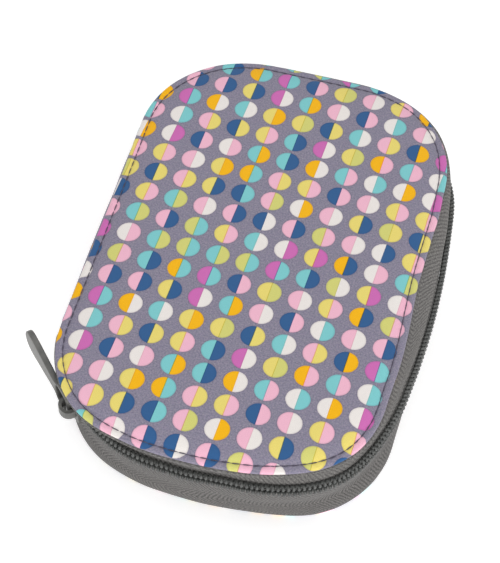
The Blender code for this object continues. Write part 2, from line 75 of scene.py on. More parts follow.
class Nodes:
    """Small helper for building node trees."""

    def __init__(self, name):
        self.mat = bpy.data.materials.new(name)
        self.mat.use_nodes = True
        self.t = self.mat.node_tree
        self.bsdf = self.t.nodes["Principled BSDF"]

    def link(self, a, b):
        self.t.links.new(a, b)

    def put(self, sock, val):
        if isinstance(val, bpy.types.NodeSocket):
            self.link(val, sock)
        elif val is not None:
            sock.default_value = val

    def math(self, op, a, b=None, c=None, clamp=False):
        n = self.t.nodes.new("ShaderNodeMath")
        n.operation = op
        n.use_clamp = clamp
        for s, v in zip(n.inputs, (a, b, c)):
            self.put(s, v)
        return n.outputs[0]

    def uv(self, name="flat"):
        n = self.t.nodes.new("ShaderNodeUVMap")
        n.uv_map = name
        s = self.t.nodes.new("ShaderNodeSeparateXYZ")
        self.link(n.outputs[0], s.inputs[0])
        return n.outputs[0], s.outputs[0], s.outputs[1]

    def objco(self):
        n = self.t.nodes.new("ShaderNodeTexCoord")
        return n.outputs["Object"]

    def vec(self, x, y, z=0.0):
        n = self.t.nodes.new("ShaderNodeCombineXYZ")
        for s, v in zip(n.inputs, (x, y, z)):
            self.put(s, v)
        return n.outputs[0]

    def noise(self, vec, scale, detail=2.0, rough=0.5):
        n = self.t.nodes.new("ShaderNodeTexNoise")
        self.put(n.inputs["Vector"], vec)
        n.inputs["Scale"].default_value = scale
        n.inputs["Detail"].default_value = detail
        n.inputs["Roughness"].default_value = rough
        return n.outputs[0], n.outputs[1]

    def white(self, vec):
        n = self.t.nodes.new("ShaderNodeTexWhiteNoise")
        n.noise_dimensions = "3D"
        self.put(n.inputs["Vector"], vec)
        return n.outputs["Value"]

    def ramp(self, fac, stops, constant=False):
        n = self.t.nodes.new("ShaderNodeValToRGB")
        r = n.color_ramp
        r.interpolation = "CONSTANT" if constant else "LINEAR"
        while len(r.elements) > 1:
            r.elements.remove(r.elements[-1])
        r.elements[0].position, r.elements[0].color = stops[0]
        for p, c in stops[1:]:
            e = r.elements.new(p)
            e.color = c
        self.put(n.inputs[0], fac)
        return n.outputs[0]

    def mix(self, fac, a, b, blend="MIX"):
        n = self.t.nodes.new("ShaderNodeMix")
        n.data_type = "RGBA"
        n.blend_type = blend
        self.put(n.inputs[0], fac)
        self.put(n.inputs[6], a)
        self.put(n.inputs[7], b)
        return n.outputs[2]

    def step(self, x, edge, soft):
        """0 below edge, 1 above it, over a soft width."""
        n = self.t.nodes.new("ShaderNodeMapRange")
        n.interpolation_type = "SMOOTHSTEP"
        self.put(n.inputs[0], x)
        n.inputs[1].default_value = edge - soft
        n.inputs[2].default_value = edge + soft
        return n.outputs[0]

    def bump(self, height, strength, distance):
        n = self.t.nodes.new("ShaderNodeBump")
        n.inputs["Strength"].default_value = strength
        n.inputs["Distance"].default_value = distance
        self.put(n.inputs["Height"], height)
        self.link(n.outputs[0], self.bsdf.inputs["Normal"])

    def shader(self, rough=None, color=None, metallic=0.0, specular=0.5, sheen=0.0, coat=0.0):
        b = self.bsdf
        self.put(b.inputs["Base Color"], color)
        self.put(b.inputs["Roughness"], rough)
        b.inputs["Metallic"].default_value = metallic
        b.inputs["Specular IOR Level"].default_value = specular
        b.inputs["Sheen Weight"].default_value = sheen
        b.inputs["Sheen Roughness"].default_value = 0.5
        b.inputs["Coat Weight"].default_value = coat
        return self.mat


# ---- printed cotton: rows of two-colour spots on a heathered lilac grey ground
COL_PITCH, ROW_PITCH, SPOT_R, GRID_TURN = 9.655, 8.55, 3.68, -0.044
GRID_X, GRID_Y = -13.4, -39.5
REPEAT_X, REPEAT_Y = 9.0, 10.0


def printed_cotton(name, seed=0.0):
    k = Nodes(name)
    uvv, x, y = k.uv()
    # the cloth's own small wander keeps the rows from being ruler straight
    wob, wobc = k.noise(uvv, 0.05, 1.0)
    x0 = k.math("ADD", x, k.math("MULTIPLY", k.math("SUBTRACT", wob, 0.5), 0.8))
    px = k.math("SUBTRACT", x0, GRID_X)
    py = k.math("SUBTRACT", y, GRID_Y)
    c, s = math.cos(GRID_TURN), math.sin(GRID_TURN)
    gx = k.math("ADD", k.math("MULTIPLY", px, c), k.math("MULTIPLY", py, s))
    gy = k.math("SUBTRACT", k.math("MULTIPLY", py, c), k.math("MULTIPLY", px, s))
    ui, vj = k.math("DIVIDE", gx, COL_PITCH), k.math("DIVIDE", gy, ROW_PITCH)
    ci, cj = k.math("ROUND", ui), k.math("ROUND", vj)
    lx = k.math("MULTIPLY", k.math("SUBTRACT", ui, ci), COL_PITCH)
    ly = k.math("MULTIPLY", k.math("SUBTRACT", vj, cj), ROW_PITCH)
    edge, _ = k.noise(uvv, 1.6, 2.0)
    r = k.math("SQRT", k.math("ADD", k.math("MULTIPLY", lx, lx), k.math("MULTIPLY", ly, ly)))
    r = k.math("ADD", r, k.math("MULTIPLY", k.math("SUBTRACT", edge, 0.5), 0.22))
    spot = k.math("SUBTRACT", 1.0, k.step(r, SPOT_R, 0.09))
    wi, wj = k.math("FLOORED_MODULO", ci, REPEAT_X), k.math("FLOORED_MODULO", cj, REPEAT_Y)
    palette = [(0.0, srgb(243, 186, 207)), (0.215, srgb(128, 204, 207)), (0.37, srgb(236, 218, 118)),
               (0.51, srgb(238, 232, 228)), (0.665, srgb(50, 95, 146)), (0.8, srgb(208, 110, 182)),
               (0.855, srgb(214, 212, 122)), (0.93, srgb(250, 186, 14))]
    h1 = k.white(k.vec(wi, wj, 1.5 + seed))
    left = k.ramp(h1, palette, True)
    h2 = k.math("FRACT", k.math("ADD", h1, k.math("MULTIPLY_ADD", k.white(k.vec(wi, wj, 7.5 + seed)), 0.55, 0.225)))
    right = k.ramp(h2, palette, True)
    # the two printings overlap by a hair, and multiply there
    line = k.math("ADD", lx, k.math("MULTIPLY", k.math("SUBTRACT", edge, 0.5), 0.12))
    on_left = k.math("SUBTRACT", 1.0, k.step(line, 0.1, 0.1))
    on_right = k.step(line, -0.1, 0.1)
    white = (1, 1, 1, 1)
    ink = k.mix(1.0, k.mix(on_left, white, left), k.mix(on_right, white, right), "MULTIPLY")
    # ink sinks in a little darker toward the rim of a spot
    rim = k.step(r, SPOT_R - 0.32, 0.3)
    ink = k.mix(k.math("MULTIPLY", rim, 0.32), ink, k.mix(1.0, ink, (0.55, 0.5, 0.55, 1), "MULTIPLY"))
    # heathered ground
    g1, g1c = k.noise(uvv, 1.9, 3.0, 0.65)
    g2, g2c = k.noise(uvv, 5.5, 2.0, 0.6)
    fleck = k.mix(0.16, k.ramp(g1, [(0.3, srgb(106, 102, 122)), (0.5, srgb(134, 129, 148)), (0.72, srgb(162, 157, 171))]), g1c, "OVERLAY")
    ground = k.mix(0.28, fleck, k.ramp(g2, [(0.32, srgb(96, 92, 112)), (0.68, srgb(170, 165, 180))]))
    grain = k.ramp(g2, [(0.25, (0.8, 0.8, 0.82, 1)), (0.7, (1.1, 1.1, 1.08, 1))])
    ink = k.mix(0.8, ink, k.mix(1.0, ink, grain, "MULTIPLY"))
    halo = k.math("SUBTRACT", k.math("SUBTRACT", 1.0, k.step(r, SPOT_R + 0.28, 0.26)), spot, clamp=True)
    ground = k.mix(k.math("MULTIPLY", halo, 0.22), ground, srgb(92, 84, 108))
    color = k.mix(spot, ground, ink)
    # plain weave, about 3 threads to the millimetre
    wx = k.math("SINE", k.math("MULTIPLY", x, 2 * math.pi * 2.4))
    wy = k.math("SINE", k.math("MULTIPLY", y, 2 * math.pi * 2.4))
    weave = k.math("ADD", k.math("MULTIPLY", wx, wy), k.math("MULTIPLY", g2, 1.6))
    soft, _ = k.noise(uvv, 0.22, 2.0)
    k.bump(k.math("ADD", weave, k.math("MULTIPLY", soft, 2.5)), 0.35, 0.00009)
    return k.shader(rough=0.88, color=color, specular=0.22, sheen=0.12)


# ---- woven herringbone tape
def herringbone(name, dark=(36, 35, 36), light=(140, 137, 134), band=4.3, pitch=1.3, ridge=0.27):
    k = Nodes(name)
    uvv, u, v = k.uv()
    wob, _ = k.noise(uvv, 0.4, 2.0)
    jit, _ = k.noise(uvv, 1.9, 2.0, 0.6)
    grit, _ = k.noise(uvv, 2.1, 3.0, 0.8)
    vv = k.math("DIVIDE", v, band)
    tri = k.math("PINGPONG", vv, 1.0)
    phase = k.math("ADD", k.math("DIVIDE", u, pitch), k.math("MULTIPLY", tri, band / pitch * 0.9))
    phase = k.math("ADD", phase, k.math("ADD", k.math("MULTIPLY", wob, 0.9), k.math("MULTIPLY", jit, 0.45)))
    wave = k.math("MULTIPLY_ADD", k.math("SINE", k.math("MULTIPLY", phase, 2 * math.pi)), 0.5, 0.5)
    wave = k.math("POWER", wave, 0.55)
    yarn = k.math("MULTIPLY_ADD", k.math("SINE", k.math("MULTIPLY", phase, 8 * math.pi)), 0.5, 0.5)
    weft = k.math("MULTIPLY_ADD", k.math("SINE", k.math("MULTIPLY", v, 2 * math.pi * 1.9)), 0.5, 0.5)
    fine, _ = k.noise(uvv, 3.0, 4.0, 0.75)
    fac = k.math("ADD", k.math("MULTIPLY", wave, ridge), k.math("MULTIPLY", fine, 0.55))
    fac = k.math("ADD", fac, k.math("MULTIPLY_ADD", grit, 1.0, -0.325 + (0.3 - ridge) * 0.4))
    fac = k.math("ADD", fac, k.math("MULTIPLY", k.math("MULTIPLY", yarn, weft), 0.16))
    mid = tuple(a * 0.42 + b * 0.58 for a, b in zip(dark, light))
    color = k.ramp(fac, [(0.3, srgb(*dark)), (0.68, srgb(*mid)), (1.0, srgb(*light))])
    k.bump(k.math("ADD", k.math("ADD", wave, k.math("MULTIPLY", yarn, 0.3)), k.math("MULTIPLY", fine, 0.8)), 0.6, 0.00012)
    return k.shader(rough=0.85, color=color, specular=0.25, sheen=0.08)


def coil_nylon(name):
    k = Nodes(name)
    co = k.objco()
    n, _ = k.noise(co, 900.0, 2.0)
    color = k.ramp(n, [(0.3, srgb(56, 58, 57)), (0.7, srgb(90, 91, 89))])
    k.bump(n, 0.12, 0.00005)
    return k.shader(rough=k.math("MULTIPLY_ADD", n, 0.2, 0.3), color=color, specular=0.5)


def thread(name, a=(70, 65, 80), b=(110, 104, 122)):
    k = Nodes(name)
    uvv, u, v = k.uv()
    tw = k.math("SINE", k.math("ADD", k.math("MULTIPLY", u, 2 * math.pi * 2.2), k.math("MULTIPLY", v, 2 * math.pi)))
    n, _ = k.noise(uvv, 4.0, 2.0)
    f = k.math("ADD", k.math("MULTIPLY_ADD", tw, 0.3, 0.35), k.math("MULTIPLY", n, 0.4))
    color = k.ramp(f, [(0.2, srgb(*a)), (0.9, srgb(*b))])
    k.bump(tw, 0.4, 0.0001)
    return k.shader(rough=0.75, color=color, specular=0.3)


def lining(name, a=(84, 84, 90), b=(118, 118, 124)):
    k = Nodes(name)
    co = k.objco()
    s = k.t.nodes.new("ShaderNodeSeparateXYZ")
    k.link(co, s.inputs[0])
    f = 2 * math.pi * 1700.0
    wx = k.math("SINE", k.math("MULTIPLY", k.math("ADD", s.outputs[0], s.outputs[2]), f))
    wy = k.math("SINE", k.math("MULTIPLY", k.math("SUBTRACT", s.outputs[1], s.outputs[2]), f))
    weave = k.math("MULTIPLY", wx, wy)
    n, _ = k.noise(co, 1400.0, 3.0, 0.7)
    big, _ = k.noise(co, 60.0, 2.0)
    fac = k.math("ADD", k.math("MULTIPLY", n, 0.7), k.math("ADD", k.math("MULTIPLY", weave, 0.09), k.math("MULTIPLY", big, 0.25)))
    color = k.ramp(fac, [(0.25, srgb(*a)), (0.75, srgb(*b))])
    k.bump(k.math("ADD", weave, n), 0.4, 0.0001)
    return k.shader(rough=0.9, color=color, specular=0.2, sheen=0.15)


def foam(name):
    k = Nodes(name)
    co = k.objco()
    v = k.t.nodes.new("ShaderNodeTexVoronoi")
    v.inputs["Scale"].default_value = 1600.0
    k.link(co, v.inputs["Vector"])
    n, _ = k.noise(co, 500.0, 3.0, 0.6)
    color = k.ramp(k.math("ADD", k.math("MULTIPLY", v.outputs["Distance"], 0.6), k.math("MULTIPLY", n, 0.5)),
                   [(0.2, srgb(52, 52, 55)), (0.8, srgb(88, 88, 92))])
    k.bump(k.math("ADD", v.outputs["Distance"], n), 0.5, 0.00015)
    return k.shader(rough=0.95, color=color, specular=0.15)


def painted_metal(name):
    k = Nodes(name)
    co = k.objco()
    n, _ = k.noise(co, 350.0, 4.0, 0.6)
    m, _ = k.noise(co, 2500.0, 2.0, 0.5)
    color = k.ramp(n, [(0.3, srgb(84, 84, 82)), (0.7, srgb(112, 111, 108))])
    k.bump(k.math("ADD", k.math("MULTIPLY", n, 0.6), k.math("MULTIPLY", m, 0.4)), 0.12, 0.0001)
    rough = k.math("MULTIPLY_ADD", n, 0.25, 0.28)
    return k.shader(rough=rough, color=color, metallic=0.35, specular=0.5)


def board(name):
    k = Nodes(name)
    co = k.objco()
    n, _ = k.noise(co, 700.0, 4.0, 0.6)
    color = k.ramp(n, [(0.3, srgb(148, 148, 146)), (0.7, srgb(176, 176, 173))])
    k.bump(n, 0.3, 0.0001)
    return k.shader(rough=0.8, color=color, specular=0.3)


def wadding(name):
    k = Nodes(name)
    co = k.objco()
    n, _ = k.noise(co, 400.0, 5.0, 0.75)
    color = k.ramp(n, [(0.3, srgb(214, 213, 208)), (0.7, srgb(240, 239, 236))])
    k.bump(n, 0.6, 0.0003)
    return k.shader(rough=0.95, color=color, specular=0.1, sheen=0.3)


M_PRINT = printed_cotton("printed_cotton")
M_PRINT_BASE = printed_cotton("printed_cotton_base", 20.0)
M_TAPE = herringbone("zip_tape_herringbone")
M_TAPE_LID = herringbone("zip_tape_plain_side", (50, 49, 50), (160, 157, 153), 8.6, 1.45, 0.2)
M_COIL = coil_nylon("nylon_coil")
M_THREAD = thread("stitch_thread")
M_LINING = lining("lining_cloth")
M_BINDING = lining("binding_cloth", (40, 40, 46), (70, 70, 78))
M_FOAM = foam("slotted_foam")
M_METAL = painted_metal("painted_zinc")
M_BOARD = board("stiffener_board")
M_WAD = wadding("wadding")


# ================================================================== geometry helpers
def smooth(t):
    t = np.clip(t, 0.0, 1.0)
    return t * t * (3.0 - 2.0 * t)


def lid_lean(z):
    return smooth((np.asarray(z, float) - 24.3) / 1.9)


def bow_weight(z):
    z = np.asarray(z, float)
    return smooth((z - 2.0) / 14.0) * (1.0 - smooth((z - 24.0) / 2.3))


def bow(x, y, z):
    right = x > 0
    amp = np.where(right, BOW_RIGHT, -BOW_LEFT)
    half = np.where(right, BOW_RIGHT_Y, BOW_LEFT_Y)
    side = smooth((np.abs(x) - 20.0) / 25.0)
    c = np.where(np.abs(y) < half, np.cos(math.pi * y / (2 * half)) ** 2, 0.0)
    return amp * side * c * bow_weight(z)


def arc(cx, cy, a0, a1, n, ends=True):
    a = np.radians(np.linspace(a0, a1, n + 1))
    s = np.stack([np.full_like(a, cx), np.full_like(a, cy), np.cos(a), np.sin(a)], 1)
    return s if ends else s[:-1]


def run(p, q, n):
    t = np.linspace(0, 1, n + 1)[:-1, None]
    return p + (q - p) * t


def closed_stations(step=0.75):
    """Stations (corner x, corner y, normal x, normal y) once round a panel."""
    nc = max(6, int(round(RP * math.pi / 2 / step)))
    n1, n2 = max(2, int(2 * AX / step)), max(2, int(2 * AY / step))
    c = [arc(-AX, -AY, 180, 270, nc, False), arc(AX, -AY, 270, 360, nc, False),
         arc(AX, AY, 0, 90, nc, False), arc(-AX, AY, 90, 180, nc, False)]
    lead = [np.array([-AX, -AY, 0, -1.0]), np.array([AX, -AY, 1.0, 0]), np.array([AX, AY, 0, 1.0]), np.array([-AX, AY, -1.0, 0])]
    nxt = [np.array([AX, -AY, 0, -1.0]), np.array([AX, AY, 1.0, 0]), np.array([-AX, AY, 0, 1.0]), np.array([-AX, -AY, -1.0, 0])]
    out = []
    for i, n in enumerate((n1, n2, n1, n2)):
        out += [c[i], run(lead[i], nxt[i], n)]
    return np.concatenate(out)


def open_stations(step=0.75, start=186.4, stop=173.6):
    nc = max(6, int(round(RP * math.pi / 2 / step)))
    n1, n2 = max(2, int(2 * AX / step)), max(2, int(2 * AY / step))
    n0 = max(3, int(nc * (270 - start) / 90))
    n3 = max(3, int(nc * (stop - 90) / 90))
    return np.concatenate([
        arc(-AX, -AY, start, 270, n0, False), run(np.array([-AX, -AY, 0, -1.0]), np.array([AX, -AY, 0, -1.0]), n1),
        arc(AX, -AY, 270, 360, nc, False), run(np.array([AX, -AY, 1.0, 0]), np.array([AX, AY, 1.0, 0]), n2),
        arc(AX, AY, 0, 90, nc, False), run(np.array([AX, AY, 0, 1.0]), np.array([-AX, AY, 0, 1.0]), n1),
        arc(-AX, AY, 90, stop, n3, True)])


QUARTER = RP * math.pi / 2
AROUND = 4 * QUARTER + 4 * AX + 4 * AY


def along(st):
    """Length round the panel's outline, from the front corner on the hinge side."""
    x, y = st[:, 0], st[:, 1]
    a = np.degrees(np.arctan2(st[:, 3], st[:, 2])) % 360
    front, side, back = QUARTER, 2 * QUARTER + 2 * AX, 3 * QUARTER + 2 * AX + 2 * AY
    left = 4 * QUARTER + 4 * AX + 2 * AY
    s = np.where(a >= 180, (a - 180) / 90 * QUARTER, 0.0)
    s = np.where(a > 270, front + 2 * AX + (a - 270) / 90 * QUARTER, s)
    s = np.where(a < 90, side + 2 * AY + a / 90 * QUARTER, s)
    s = np.where((a >= 90) & (a < 180), back + 2 * AX + (a - 90) / 90 * QUARTER, s)
    s = np.where(np.abs(a - 270) < 0.01, front + x + AX, s)
    s = np.where((a < 0.01) | (a > 359.99), side + y + AY, s)
    s = np.where(np.abs(a - 90) < 0.01, back + AX - x, s)
    s = np.where(np.abs(a - 180) < 0.01, left + AY - y, s)
    return s % AROUND


def soft_curve(knots, spread=3.0):
    """Smooth periodic curve through (length, offset) knots, for cloth that isn't ruler straight."""
    k = np.array(knots)
    g = np.arange(0, AROUND, 0.5)
    v = np.interp(g, np.r_[k[:, 0] - AROUND, k[:, 0], k[:, 0] + AROUND], np.tile(k[:, 1], 3))
    w = np.exp(-0.5 * (np.arange(-24, 25) * 0.5 / spread) ** 2)
    v = np.convolve(np.r_[v[-24:], v, v[:24]], w / w.sum(), "valid")
    return lambda s: np.interp(s % AROUND, np.r_[g, AROUND], np.r_[v, v[0]])


# how far the soft case's real edges stand off the plain rounded rectangle, round each level (mm)
LID_EASE = soft_curve([(0, 0.3), (12, 0.0), (25, -0.2), (33, -0.45), (40, -1.0), (47, -1.3), (53, -0.7), (60, 0.1), (68, 0.3), (77, 0.1),
                       (84, -0.8), (90, -1.6), (97, -1.85), (103, -1.35), (109, -0.6), (116, 0.1), (122, 0.2), (135, -0.15), (142, -0.2),
                       (150, 0.5), (158, 0.65), (168, 0.3), (180, -0.2), (190, -0.3), (203, 0.1), (213, 0.5), (222, 0.0), (232, -0.4),
                       (245, 0.1), (258, 0.5), (270, 0.2), (290, 0.3), (320, 0.2), (350, 0.4), (380, 0.2), (430, 0.2)])
ZIP_DIP = soft_curve([(0, 0.0), (27, 0.0), (33, 0.5), (40, 1.4), (48, 1.7), (60, 1.8), (67, 1.6), (76, 1.3), (86, 1.1), (96, 0.8), (106, 0.35), (116, 0.0), (440, 0.0)])
ZIP_EASE = soft_curve([(0, 0.0), (31, 0.0), (38, 0.0), (48, 0.0), (56, 0.1), (62, 0.8), (70, 0.75), (86, 0.45), (93, 0.8), (99, 1.6), (105, 2.4), (110, 2.7),
                       (115, 2.2), (120, 0.9), (126, 0.0), (132, -0.6), (138, -0.55), (150, -0.35), (165, -0.6), (185, -0.95), (205, -1.0),
                       (224, -1.15), (231, -2.0), (238, -3.0), (247, -3.0), (257, -1.6), (268, 0.0), (440, 0.0)])
BASE_EASE = soft_curve([(0, -0.2), (25, -0.6), (34, -1.0), (43, -1.6), (50, -1.3), (56, -0.7), (62, -0.3), (69, 0.0), (75, -0.35), (81, -0.9),
                        (87, -1.7), (93, -1.9), (99, -1.3), (106, -0.9), (120, -0.7), (140, -0.8), (155, -0.3), (200, -0.2), (300, 0.0), (420, 0.0)])


BASE_TUCK = soft_curve([(0, -1.25), (78, -1.25), (90, -0.75), (100, -0.2), (122, -0.2), (132, -0.9), (145, -1.25)], 4.0)


def base_edge(s):
    """The printed base sits a little inside the wall's lower roll, and shows at one corner."""
    return BASE_EASE(s) + BASE_TUCK(s)


def panel(st, d, z, shift=(0, 0), ease=None):
    """Points of a flat panel outline with offset d, at height z (mm)."""
    r = RP + np.asarray(d, float)
    if ease is not None:
        r = r + ease(along(st)) * smooth((np.asarray(d, float) + 22.0) / 14.0)
    return np.stack([st[:, 0] + st[:, 2] * r + shift[0], st[:, 1] + st[:, 3] * r + shift[1],
                     np.broadcast_to(np.asarray(z, float), (len(st),))], 1)


def wall(st, d, z):
    """Points of the soft side wall, vectorised over stations; d and z may vary."""
    z = np.broadcast_to(np.asarray(z, float), (len(st),))
    d = np.broadcast_to(np.asarray(d, float), (len(st),))
    k = lid_lean(z)
    rise = smooth((z - 2.2) / 8.0)
    s = along(st)
    low, high = smooth((z - 2.0) / 15.0), smooth((z - 22.6) / 2.6)
    lower = ZIP_DIP(s) * smooth((z - 6.0) / 10.0) * (1.0 - smooth((z - 23.2) / 2.6))
    d = d + (BASE_EASE(s) * (1 - low) + ZIP_EASE(s) * low) * (1 - high) + LID_EASE(s) * high
    w = rise * (1.0 - k)
    x = st[:, 0] * (AX - EXTRA_R * w) / AX
    y = st[:, 1] * (AY - (EXTRA_R + SHORT_Y) * w) / AY
    r = RP + EXTRA_R * w + d
    px, py = x + st[:, 2] * r, y + st[:, 3] * r
    px = px + bow(px, py, z) + ZIP_SHIFT_X * rise
    return np.stack([px + (LID_SHIFT[0] - ZIP_SHIFT_X) * k, py + LID_SHIFT[1] * k, z - lower], 1)


def path_length(p, closed=False):
    q = np.concatenate([p, p[:1]]) if closed else p
    return np.concatenate([[0.0], np.cumsum(np.linalg.norm(np.diff(q, axis=0), axis=1))])


def grid(name, P, mat, uv=None, close_u=False, close_v=False, cap_u=False, cap_v=False, body=None, thick_smooth=True):
    """Mesh from a grid of points P[i, j] in mm, with an unwrapped 'flat' UV in mm."""
    n, m = P.shape[:2]
    verts = (P.reshape(-1, 3) * MM)
    iu = n if close_u else n - 1
    jv = m if close_v else m - 1
    i, j = np.meshgrid(np.arange(iu), np.arange(jv), indexing="ij")
    a = i * m + j
    b = ((i + 1) % n) * m + j
    c = ((i + 1) % n) * m + (j + 1) % m
    d = i * m + (j + 1) % m
    faces = np.stack([a, b, c, d], -1).reshape(-1, 4)
    polys = [tuple(f) for f in faces.tolist()]
    if cap_u:
        polys.append(tuple(range(m)))
        polys.append(tuple((n - 1) * m + k for k in range(m))[::-1])
    if cap_v:
        polys.append(tuple(k * m for k in range(n)))
        polys.append(tuple(k * m + m - 1 for k in range(n))[::-1])
    me = bpy.data.meshes.new(name)
    me.from_pydata(verts.tolist(), [], polys)
    layer = me.uv_layers.new(name="flat")
    if uv is not None:
        ni = faces.shape[0]
        ii = np.stack([i, i + 1, i + 1, i], -1).reshape(-1, 4)
        jj = np.stack([j, j, j + 1, j + 1], -1).reshape(-1, 4)
        un, um = uv.shape[:2]
        data = np.zeros((len(me.loops), 2), np.float32)
        data[: ni * 4] = uv[np.minimum(ii, un - 1), np.minimum(jj, um - 1)].reshape(-1, 2)
        rest = len(me.loops) - ni * 4
        if rest:
            idx = np.zeros(len(me.loops), np.int32)
            me.loops.foreach_get("vertex_index", idx)
            idx = idx[ni * 4:]
            data[ni * 4:] = uv[idx // m, idx % m]
        layer.data.foreach_set("uv", data.ravel())
    me.update()
    bm = bmesh.new()
    bm.from_mesh(me)
    bmesh.ops.recalc_face_normals(bm, faces=bm.faces)
    bm.to_mesh(me)
    bm.free()
    me.shade_smooth()
    me.materials.append(mat)
    ob = bpy.data.objects.new(name, me)
    bpy.context.scene.collection.objects.link(ob)
    if body:
        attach(ob, body)
    return ob


def tri(mesh_name, ob, angle=35.0):
    ob.data.set_sharp_from_angle(angle=math.radians(angle))
    return ob


def noise1(s, seed, wave):
    """Smooth repeatable wander along a length s (mm)."""
    rng = np.random.default_rng(seed)
    out = np.zeros_like(s, float)
    for k in range(1, 5):
        out += np.sin(2 * math.pi * s / (wave / k) + rng.uniform(0, 2 * math.pi)) / k
    return out / 2.0


# ================================================================== lid: printed, padded panel
STITCH_PITCH = 3.1


def printed_panel(name, mat, body, shift, rings, centre_rings, replaces, dimple, seed, ease):
    """rings: list of (d, z, duv) from the hidden underside out over the lip and in to the middle."""
    st = closed_stations(0.72)
    edge = panel(st, 0.0, 0.0)
    s = path_length(edge, True)[:-1]
    total = path_length(edge, True)[-1]
    n_st = round(total / STITCH_PITCH)
    ph = s / total * n_st
    wander = noise1(s / total * 600.0, seed, 200.0)
    rows, uvs = [], []
    for d, z, duv, kind in rings:
        dd, zz = np.full(len(st), d), np.full(len(st), z)
        if kind == "groove":
            zz = zz + dimple * 0.16 * np.cos(2 * math.pi * ph)
            dd = dd + 0.05 * np.sin(math.pi * ph)
        elif kind == "bank":
            zz = zz + dimple * 0.07 * np.cos(2 * math.pi * ph)
        elif kind == "lip":
            zz = zz + 0.07 * wander
            dd = dd + 0.16 * noise1(s / total * 600.0, seed + 3, 90.0)
        elif kind == "near":
            zz = zz + 0.05 * noise1(s / total * 600.0, seed + 5, 60.0)
        P = panel(st, dd, zz, (0, 0), ease)
        rows.append(P)
        uvs.append(panel(st, duv, 0.0, (0, 0), ease)[:, :2])
    last_d = rings[-1][0]
    inner = panel(st, last_d, rings[-1][1])
    for f, z in centre_rings:
        q = inner.copy()
        q[:, 0] *= f
        q[:, 1] *= f
        q[:, 2] = z
        rows.append(q)
        uvs.append(q[:, :2])
    P = np.stack(rows, 1)
    UV = np.stack(uvs, 1)
    UV = np.concatenate([UV, UV[:1]], 0)
    P[..., 0] += shift[0]
    P[..., 1] += shift[1]
    ob = grid(name, P, mat, UV, close_u=True, cap_v=True)
    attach(ob, body)
    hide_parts(*replaces)
    return ob


lid_rings = [
    (-4.6, 26.5, 3.6, ""), (-2.0, 26.45, 2.8, ""), (-0.6, 26.4, 1.5, "lip"), (-0.1, 26.45, 1.05, "lip"), (0.14, 26.65, 0.7, "lip"),
    (0.22, 26.95, 0.4, "lip"), (0.12, 27.22, 0.1, "lip"), (-0.1, 27.44, -0.2, "lip"), (-0.45, 27.6, -0.6, "lip"), (-0.95, 27.68, -1.05, "lip"),
    (-1.4, 27.66, -1.5, "bank"), (-1.75, 27.52, -1.82, "bank"), (-2.02, 27.3, -2.06, "groove"), (-2.14, 27.24, -2.14, "groove"),
    (-2.3, 27.36, -2.3, "groove"), (-2.6, 27.68, -2.6, "bank"), (-3.1, 27.98, -3.1, "near"), (-4.1, 28.3, -4.1, "near"),
    (-5.8, 28.6, -5.8, "near"), (-8.5, 28.86, -8.5, ""), (-12.0, 29.03, -12.0, ""), (-17.0, 29.15, -17.0, ""), (-23.0, 29.24, -23.0, ""),
    (-29.0, 29.3, -29.0, ""), (-33.8, 29.33, -33.8, "")]
centre = [(0.8, 29.35), (0.55, 29.37), (0.3, 29.38), (0.08, 29.385)]
lid_print = printed_panel("lid_print", M_PRINT, "lid", LID_SHIFT, lid_rings, centre, ["lid_cover_panel", "lid_padding"], 1.0, 11, LID_EASE)

base_rings = [
    (-4.6, 1.3, 3.4, ""), (-1.6, 1.42, 1.6, ""), (-0.7, 1.46, 1.0, "lip"), (-0.1, 1.36, 0.7, "lip"), (0.14, 1.05, 0.35, "lip"),
    (0.05, 0.68, 0.0, "lip"), (-0.25, 0.4, -0.3, "lip"), (-0.8, 0.2, -0.8, "near"), (-1.4, 0.12, -1.4, "near"),
    (-1.8, 0.3, -1.8, "near"), (-2.1, 0.52, -2.1, "near"), (-2.4, 0.3, -2.4, "near"), (-2.9, 0.08, -2.9, "near"),
    (-3.6, 0.0, -3.6, ""), (-6.0, 0.0, -6.0, ""), (-12.0, 0.0, -12.0, ""), (-22.0, 0.0, -22.0, ""), (-33.8, 0.0, -33.8, "")]
base_rings = [(d, max(z, 0.06) if k == "near" else z, u, k) for d, z, u, k in base_rings]
base_print = printed_panel("base_print", M_PRINT_BASE, "base", (0, 0), base_rings, [(0.6, 0.0), (0.2, 0.0)], ["base_cover_panel"], 0.0, 23, base_edge)


